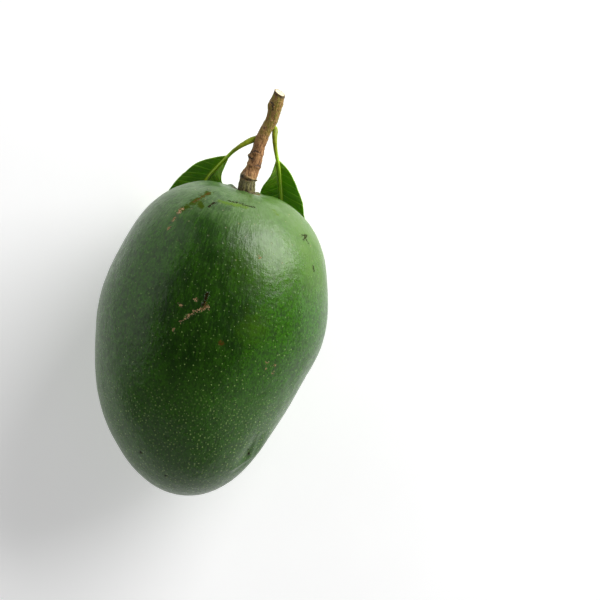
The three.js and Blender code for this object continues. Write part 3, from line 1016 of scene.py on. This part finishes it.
# Stalk and midrib: yellow-green and smooth, with a brown joint where the stalk leaves the stem.
STALK_DARK = (0.19, 0.25, 0.006, 1)
STALK_PALE = (0.29, 0.34, 0.015, 1)
STALK_SPECK = (0.09, 0.07, 0.02, 1)
MIDRIB_GREEN = (0.40, 0.62, 0.02, 1)
STALK_JOINT = (0.12, 0.09, 0.03, 1)
rib_material, rib_shader = new_material("leaf stalk")
rib_along = axes(rib_material, map_place(rib_material, "leaf_map"))["Y"]
rib_here = piece_place(rib_material)
rib_clouds = clouds(rib_material, rib_here, 1.6, detail=4.0, rough=0.65)
rib_specks = clouds(rib_material, rib_here, 0.5, detail=2.0)
joint_at = summed(rib_material, [(rib_clouds, 1.2)], rib_along)
rib_colour = layered(
    rib_material,
    graded(rib_material, rib_clouds, 0.3, 0.7, STALK_DARK, STALK_PALE),
    [
        (eased(rib_material, rib_specks, 0.66, 0.74, 0.0, 0.6), STALK_SPECK),
        (eased(rib_material, rib_along, 9.0, 14.0, 0.0, 0.85), MIDRIB_GREEN),
        (eased(rib_material, joint_at, 2.0, 0.8, 0.0, 0.7), STALK_JOINT),
    ],
)
fill_inputs(
    rib_material,
    rib_shader,
    {
        "Base Color": rib_colour,
        "Roughness": eased(rib_material, rib_clouds, 0.3, 0.7, 0.38, 0.5),
        "Specular IOR Level": 0.3,
        "Subsurface Weight": 0.5,
        "Subsurface Radius": (0.8, 1.2, 0.2),
        "Subsurface Scale": MILLIMETRE,
        "Normal": relief(rib_material, times(rib_material, rib_clouds, 0.10)),
    },
)

for node_name, leaf in LEAVES.items():
    curve = curve_through(leaf["midrib"])
    blade_length = curve[1][-1]
    shape = bmesh.new()
    leaf_map = shape.loops.layers.uv.new("leaf_map")
    edge_gap = shape.verts.layers.float.new("edge_gap")
    bmesh.ops.create_grid(shape, x_segments=BLADE_ROWS, y_segments=BLADE_COLUMNS, size=0.5)
    for face in shape.faces:
        for loop in face.loops:
            at = min(max(loop.vert.co.x + 0.5, 0.0), 1.0)
            off = 2 * loop.vert.co.y * blade_half_width(at)
            loop[leaf_map].uv = (off / MAP_UNIT, at * blade_length / MAP_UNIT)
    for vert in shape.verts:
        at = min(max(vert.co.x + 0.5, BLUNT_END), 1 - BLUNT_END)
        across_share = 2 * vert.co.y
        half = blade_half_width(at)
        if across_share < 0:
            half *= leaf["widening"]
        settled = smooth_step((at - SETTLE_FROM) / SETTLE_OVER)
        roll = leaf["roll"][0] + (leaf["roll"][1] - leaf["roll"][0]) * settled
        fold = leaf["fold"][0] + (leaf["fold"][1] - leaf["fold"][0]) * settled
        side, face_up = leaf_directions(curve, at, roll)
        edge = abs(across_share)
        lag = WAVE_LAG if across_share > 0 else 0.0
        wave = math.sin(math.tau * WAVE_COUNT * at + leaf["wave_start"] + lag)
        lift = half * edge * math.sin(fold) + WAVE_HEIGHT * wave * edge * edge * math.sin(math.pi * at)
        off = half * edge
        vein = (at * blade_length - SIDE_VEIN_LEAN * off) / SIDE_VEIN_SPACING
        quilt_fade = min(off / QUILT_OFF_MIDRIB, 1.0) * min((half - off) / QUILT_OFF_MARGIN, 1.0)
        lift += QUILT_HEIGHT * math.cos(math.tau * vein) * quilt_fade
        lift -= MIDRIB_GROOVE_DEPTH * bump(off, MIDRIB_GROOVE_WIDTH)
        vert[edge_gap] = half - off
        vert.co = curve_point(curve, at) + side * (half * across_share * math.cos(fold)) + face_up * lift
    bmesh.ops.recalc_face_normals(shape, faces=shape.faces)
    if sum(face.normal.z for face in shape.faces) < 0:
        bmesh.ops.reverse_faces(shape, faces=shape.faces)
    bmesh.ops.solidify(shape, geom=shape.faces[:], thickness=BLADE_THICKNESS)
    bmesh.ops.recalc_face_normals(shape, faces=shape.faces)
    for vert in shape.verts:
        vert.co.z = max(vert.co.z, SURFACE_GAP)

    # The midrib runs on from the stalk under the fold of the blade.
    ribs = bmesh.new()
    rib_map = ribs.loops.layers.uv.new("leaf_map")
    ribs.verts.layers.float.new("edge_gap")
    bmesh.ops.create_grid(ribs, x_segments=RIB_ROWS, y_segments=RIB_ROUND, size=0.5)
    stalk_points = [leaf["foot"]] + leaf["stalk"]
    rib_curve = curve_through(stalk_points + leaf["midrib"][:-1])
    rib_length = rib_curve[1][-1]
    stalk_share = curve_through(stalk_points + leaf["midrib"][:1])[1][-1] / rib_length
    for face in ribs.faces:
        face.material_index = 1
        for loop in face.loops:
            around = (loop.vert.co.y + 0.5) * RIB_GIRTH
            onward = (loop.vert.co.x + 0.5) * rib_length
            loop[rib_map].uv = (around / MAP_UNIT, onward / MAP_UNIT)
    for vert in ribs.verts:
        row = round((vert.co.x + 0.5) * RIB_ROWS)
        at = (min(max(row, 1), RIB_ROWS - 1) - 1) / (RIB_ROWS - 2)
        round_it = math.tau * (vert.co.y + 0.5)
        if at < stalk_share:
            radius = value_along(STALK_RADII, at / stalk_share)
        else:
            onward = (at - stalk_share) / (1 - stalk_share)
            radius = STALK_RADII[-1] + (MIDRIB_TIP_RADIUS - STALK_RADII[-1]) * onward
        unevenness = noise.noise(Vector((math.cos(round_it), math.sin(round_it), at * 50)))
        radius *= 1 + RIB_UNEVENNESS * unevenness
        if row in (0, RIB_ROWS):
            radius = 0.0
        side, face_up = leaf_directions(rib_curve, at, 0.0)
        out = side * math.cos(round_it) + face_up * math.sin(round_it)
        vert.co = curve_point(rib_curve, at) + out * radius
    bmesh.ops.remove_doubles(ribs, verts=ribs.verts, dist=0.0005)
    bmesh.ops.recalc_face_normals(ribs, faces=ribs.faces)
    rib_mesh = bpy.data.meshes.new("leaf rib")
    ribs.to_mesh(rib_mesh)
    ribs.free()
    shape.from_mesh(rib_mesh)
    bpy.data.meshes.remove(rib_mesh)
    made_leaf = finished_object(f"mango_{node_name}", shape, [blade_material, rib_material])
    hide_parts(node_name)
    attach(made_leaf, "root")

# Surface and light
# A plain pale surface, softly lit from below like a light table. A large softbox stands low on the upper
# right, with dimmer ones all round. What faces the camera stays darker, as nothing bright is above it.
SURFACE_GREY = (0.86, 0.86, 0.86, 1)
SURFACE_WHITE = (0.90, 0.90, 0.90, 1)
SURFACE_HALF_WIDTH = 4000.0
LIT_POINT = Vector((0, 0, 0.03))
floor_material, floor_shader = new_material("pale surface")
floor_here = add_node(floor_material, "ShaderNodeTexCoord", {}).outputs["Object"]
floor_clouds = clouds(floor_material, floor_here, 0.02, detail=4.0)
fill_inputs(
    floor_material,
    floor_shader,
    {
        "Base Color": layered(floor_material, SURFACE_GREY, [(floor_clouds, SURFACE_WHITE)]),
        "Roughness": 0.9,
        "Specular IOR Level": 0.1,
        "Emission Strength": 0.36,
    },
)
shape = bmesh.new()
bmesh.ops.create_grid(shape, x_segments=4, y_segments=4, size=SURFACE_HALF_WIDTH)
floor = finished_object("surface", shape, [floor_material])

world = bpy.data.worlds.new("studio")
world.use_nodes = True
world.node_tree.nodes["Background"].inputs["Color"].default_value = (1.0, 1.0, 1.0, 1)
world.node_tree.nodes["Background"].inputs["Strength"].default_value = 0.06
bpy.context.scene.world = world


def softbox(name, azimuth, elevation, distance, wide, high, radiance):
    """A rectangular area light that faces the fruit's middle. Angles are in degrees, sizes in metres."""
    level = math.cos(math.radians(elevation))
    direction = Vector(
        (
            level * math.cos(math.radians(azimuth)),
            level * math.sin(math.radians(azimuth)),
            math.sin(math.radians(elevation)),
        )
    )
    lamp = bpy.data.lights.new(name, "AREA")
    lamp.shape = "RECTANGLE"
    lamp.size = wide
    lamp.size_y = high
    lamp.energy = radiance * math.pi * wide * high
    holder = bpy.data.objects.new(name, lamp)
    holder.location = LIT_POINT + direction * distance
    holder.rotation_euler = direction.to_track_quat("Z", "Y").to_euler()
    bpy.context.scene.collection.objects.link(holder)


softbox("softbox upper right", azimuth=47, elevation=23, distance=0.85, wide=0.72, high=0.62, radiance=8.8)
softbox("softbox left", azimuth=165, elevation=22, distance=1.00, wide=1.50, high=0.80, radiance=0.85)
softbox("softbox lower right", azimuth=325, elevation=18, distance=1.00, wide=0.80, high=0.60, radiance=0.4)
softbox("softbox tip side", azimuth=258, elevation=16, distance=1.00, wide=1.00, high=0.50, radiance=0.3)

# Camera
# It looks straight down on the upper cheek from one metre above the fruit's middle, as in the photograph.
# Right in the picture is a little off +X, so that the fruit leans as it does there.
CAMERA_PLACE = Vector((0.03306, 0.01775, 1.0372))
CAMERA_RIGHT = Vector((0.9851, 0.1721, 0)).normalized()
CAMERA_UP = Vector((-CAMERA_RIGHT.y, CAMERA_RIGHT.x, 0))
lens = bpy.data.cameras.new("camera")
lens.sensor_width = 36.0
lens.lens = 158.0
lens.clip_start = 0.05
camera = bpy.data.objects.new("camera", lens)
camera_turn = Matrix((CAMERA_RIGHT, CAMERA_UP, Vector((0, 0, 1)))).transposed().to_4x4()
camera.matrix_world = Matrix.Translation(CAMERA_PLACE) @ camera_turn
bpy.context.scene.collection.objects.link(camera)
bpy.context.scene.camera = camera
bpy.context.scene.view_settings.view_transform = "Standard"
